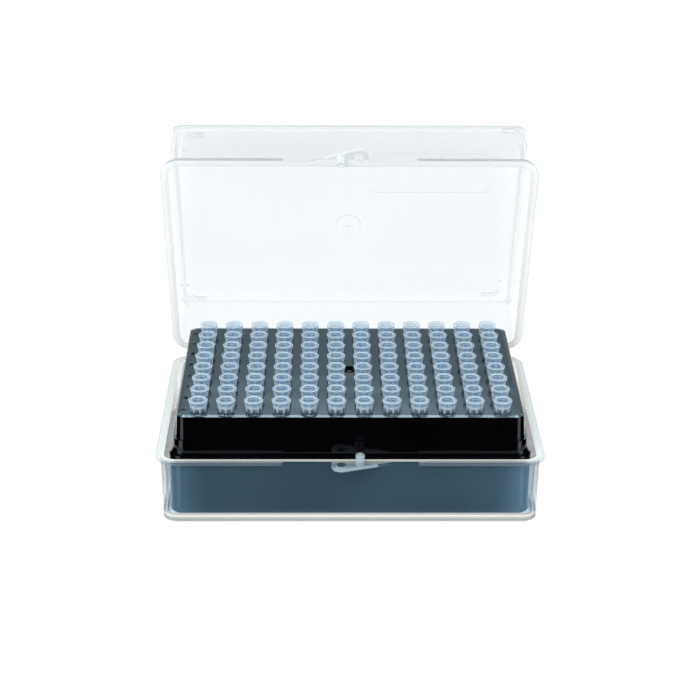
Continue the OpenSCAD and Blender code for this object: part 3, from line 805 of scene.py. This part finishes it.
def build_world():
    """White to the camera. Reflections see white paper behind, bright sides, a dark front, a softbox and a
    dark ceiling."""
    world = bpy.data.worlds.new("studio")
    bpy.context.scene.world = world
    world.use_nodes = True
    tree = world.node_tree
    tree.nodes.clear()
    place = tree.nodes.new("ShaderNodeTexCoord").outputs["Generated"]
    seen, rays = seen_straight(tree)
    parts = split(tree, place)

    def band(label):
        return ramp(tree, parts["Z"], *SKY_BANDS[label])

    low = product(tree, band("horizon"), band("over the horizon"))
    low = math_node(tree, "ADD", low, band("foot"))
    aside = math_node(tree, "ABSOLUTE", parts["X"])
    softbox = product(tree, band("softbox foot"), band("softbox head"), ramp(tree, aside, *SOFTBOX_SIDE))
    ceiling = product(tree, band("ceiling"), band("zenith"))
    high = math_node(tree, "ADD", product(tree, low, ceiling), softbox)
    mirrored = product(tree, surroundings(tree, place, sides=1.2, behind=1.0), high)
    ambient = product(tree, math_node(tree, "SUBTRACT", 1.0, rays["Is Glossy Ray"]), AMBIENT)
    glossy = product(tree, rays["Is Glossy Ray"], mirrored)
    strength = math_node(tree, "MAXIMUM", seen, math_node(tree, "ADD", ambient, glossy))
    cool = product(tree, band("cool foot"), band("cool head"), rays["Is Glossy Ray"])
    sky = tree.nodes.new("ShaderNodeBackground")
    tree.links.new(blend_colour(tree, cool, WHITE, COOL_WHITE), sky.inputs["Color"])
    tree.links.new(strength, sky.inputs["Strength"])
    out = tree.nodes.new("ShaderNodeOutputWorld")
    tree.links.new(sky.outputs[0], out.inputs["Surface"])


def build_floor():
    """A wide floor that is near white where it is seen, keeps a soft shadow and throws light back.
    Reflections see the surroundings in it instead."""
    half = FLOOR_HALF
    mesh = bpy.data.meshes.new("floor")
    mesh.from_pydata([(-half, -half, 0), (half, -half, 0), (half, half, 0), (-half, half, 0)], [],
                     [(0, 1, 2, 3)])
    floor = bpy.data.objects.new("floor", mesh)
    bpy.context.scene.collection.objects.link(floor)
    floor.location.z = -FLOOR_DROP
    material, tree, out = fresh_material("floor_pale")
    seen, rays = seen_straight(tree)
    paper = tree.nodes.new("ShaderNodeBsdfDiffuse")
    tree.links.new(blend_colour(tree, rays["Is Glossy Ray"], FLOOR_PAPER, BLACK), paper.inputs["Color"])
    parts = split(tree, tree.nodes.new("ShaderNodeTexCoord").outputs["Object"])
    spread = tree.nodes.new("ShaderNodeCombineXYZ")
    beside = math_node(tree, "SUBTRACT", math_node(tree, "ABSOLUTE", parts["X"]), RACK_HIGH.x)
    tree.links.new(math_node(tree, "MAXIMUM", beside, 0.0), spread.inputs[0])
    tree.links.new(math_node(tree, "SUBTRACT", parts["Y"], RACK_LOW.y), spread.inputs[1])
    level = surroundings(tree, spread.outputs[0], sides=1.6, behind=1.6)
    mirrored = product(tree, rays["Is Glossy Ray"], level)
    lit = math_node(tree, "MAXIMUM", product(tree, seen, FLOOR_GLOW), mirrored)
    bounce = product(tree, rays["Is Diffuse Ray"], FLOOR_BOUNCE)
    glow = tree.nodes.new("ShaderNodeEmission")
    tree.links.new(math_node(tree, "MAXIMUM", lit, bounce), glow.inputs["Strength"])
    both = tree.nodes.new("ShaderNodeAddShader")
    tree.links.new(paper.outputs[0], both.inputs[0])
    tree.links.new(glow.outputs[0], both.inputs[1])
    tree.links.new(both.outputs[0], out.inputs["Surface"])
    mesh.materials.append(material)


def build_lamp(name, place, size, power):
    """A soft lamp at place, turned to the middle of the box."""
    light = bpy.data.lights.new(name, "AREA")
    light.shape = "RECTANGLE"
    light.size, light.size_y = size
    light.energy = power
    lamp = bpy.data.objects.new(name, light)
    lamp.location = place
    lamp.rotation_euler = (Vector(LAMP_TARGET) - Vector(place)).to_track_quat("-Z", "Y").to_euler()
    lamp.visible_glossy = False
    bpy.context.scene.collection.objects.link(lamp)


def build_camera(studio):
    """The camera: on a line at the elevation angle, turned a little round the box and rolled a little."""
    data = bpy.data.cameras.new("camera")
    data.lens = studio.lens
    data.sensor_width = SENSOR_WIDTH
    data.shift_y = studio.shift
    data.clip_start, data.clip_end = 0.01, 20.0
    camera = bpy.data.objects.new("camera", data)
    across = Vector((math.cos(studio.turn), -math.sin(studio.turn), 0.0))
    along = Vector((math.sin(studio.turn), math.cos(studio.turn), 0.0))
    target = across * AIM_ASIDE + Vector((0.0, 0.0, TIPS_HIGH.z - AIM_BELOW_TIPS))
    back = -along * math.cos(studio.elevation) + Vector((0.0, 0.0, math.sin(studio.elevation)))
    camera.matrix_world = (Matrix.Translation(target + back * studio.distance)
                           @ (-back).to_track_quat("-Z", "Y").to_matrix().to_4x4()
                           @ Matrix.Rotation(studio.roll, 4, "Z"))
    bpy.context.scene.collection.objects.link(camera)
    bpy.context.scene.camera = camera


class TIPBOX_OT_stage(bpy.types.Operator):
    """Sets up the floor, the lamps, the surroundings and the camera"""

    bl_idname = "tipbox.stage"
    bl_label = "Stage"

    def execute(self, context):
        scene = context.scene
        scene.view_settings.view_transform = "Standard"
        scene.cycles.max_bounces = 24
        scene.cycles.transmission_bounces = 20
        scene.cycles.transparent_max_bounces = 24
        build_camera(scene.tipbox_studio)
        build_world()
        build_floor()
        for name, place, size in LAMPS:
            build_lamp(name, place, size, getattr(scene.tipbox_studio, name))
        return {"FINISHED"}


class TIPBOX_PT_panel(bpy.types.Panel):
    """Lists the makers of the tip box"""

    bl_idname = "TIPBOX_PT_panel"
    bl_label = "Tip Box"
    bl_space_type = "VIEW_3D"
    bl_region_type = "UI"
    bl_category = "Tip Box"

    def draw(self, context):
        for group in SETTINGS:
            box = self.layout.box()
            settings = getattr(context.scene, group)
            for name in settings.__annotations__:
                box.prop(settings, name)
        for maker in MAKERS:
            self.layout.operator(maker.bl_idname)


MAKERS = (TIPBOX_OT_stage, TIPBOX_OT_shells, TIPBOX_OT_rack, TIPBOX_OT_tips, TIPBOX_OT_row_letters)
SETTINGS = {"tipbox_finishes": TipBoxFinishes, "tipbox_letters": TipBoxLetters, "tipbox_studio": TipBoxStudio}


def register():
    for cls in (*SETTINGS.values(), *MAKERS, TIPBOX_PT_panel):
        bpy.utils.register_class(cls)
    for name, cls in SETTINGS.items():
        setattr(bpy.types.Scene, name, bpy.props.PointerProperty(type=cls))


def unregister():
    for name in SETTINGS:
        delattr(bpy.types.Scene, name)
    for cls in (TIPBOX_PT_panel, *reversed(MAKERS), *reversed(SETTINGS.values())):
        bpy.utils.unregister_class(cls)


def main():
    register()
    bpy.ops.tipbox.stage()
    bpy.ops.tipbox.shells()
    bpy.ops.tipbox.rack()
    bpy.ops.tipbox.tips()
    bpy.ops.tipbox.row_letters()


if __name__ == "__main__":
    main()
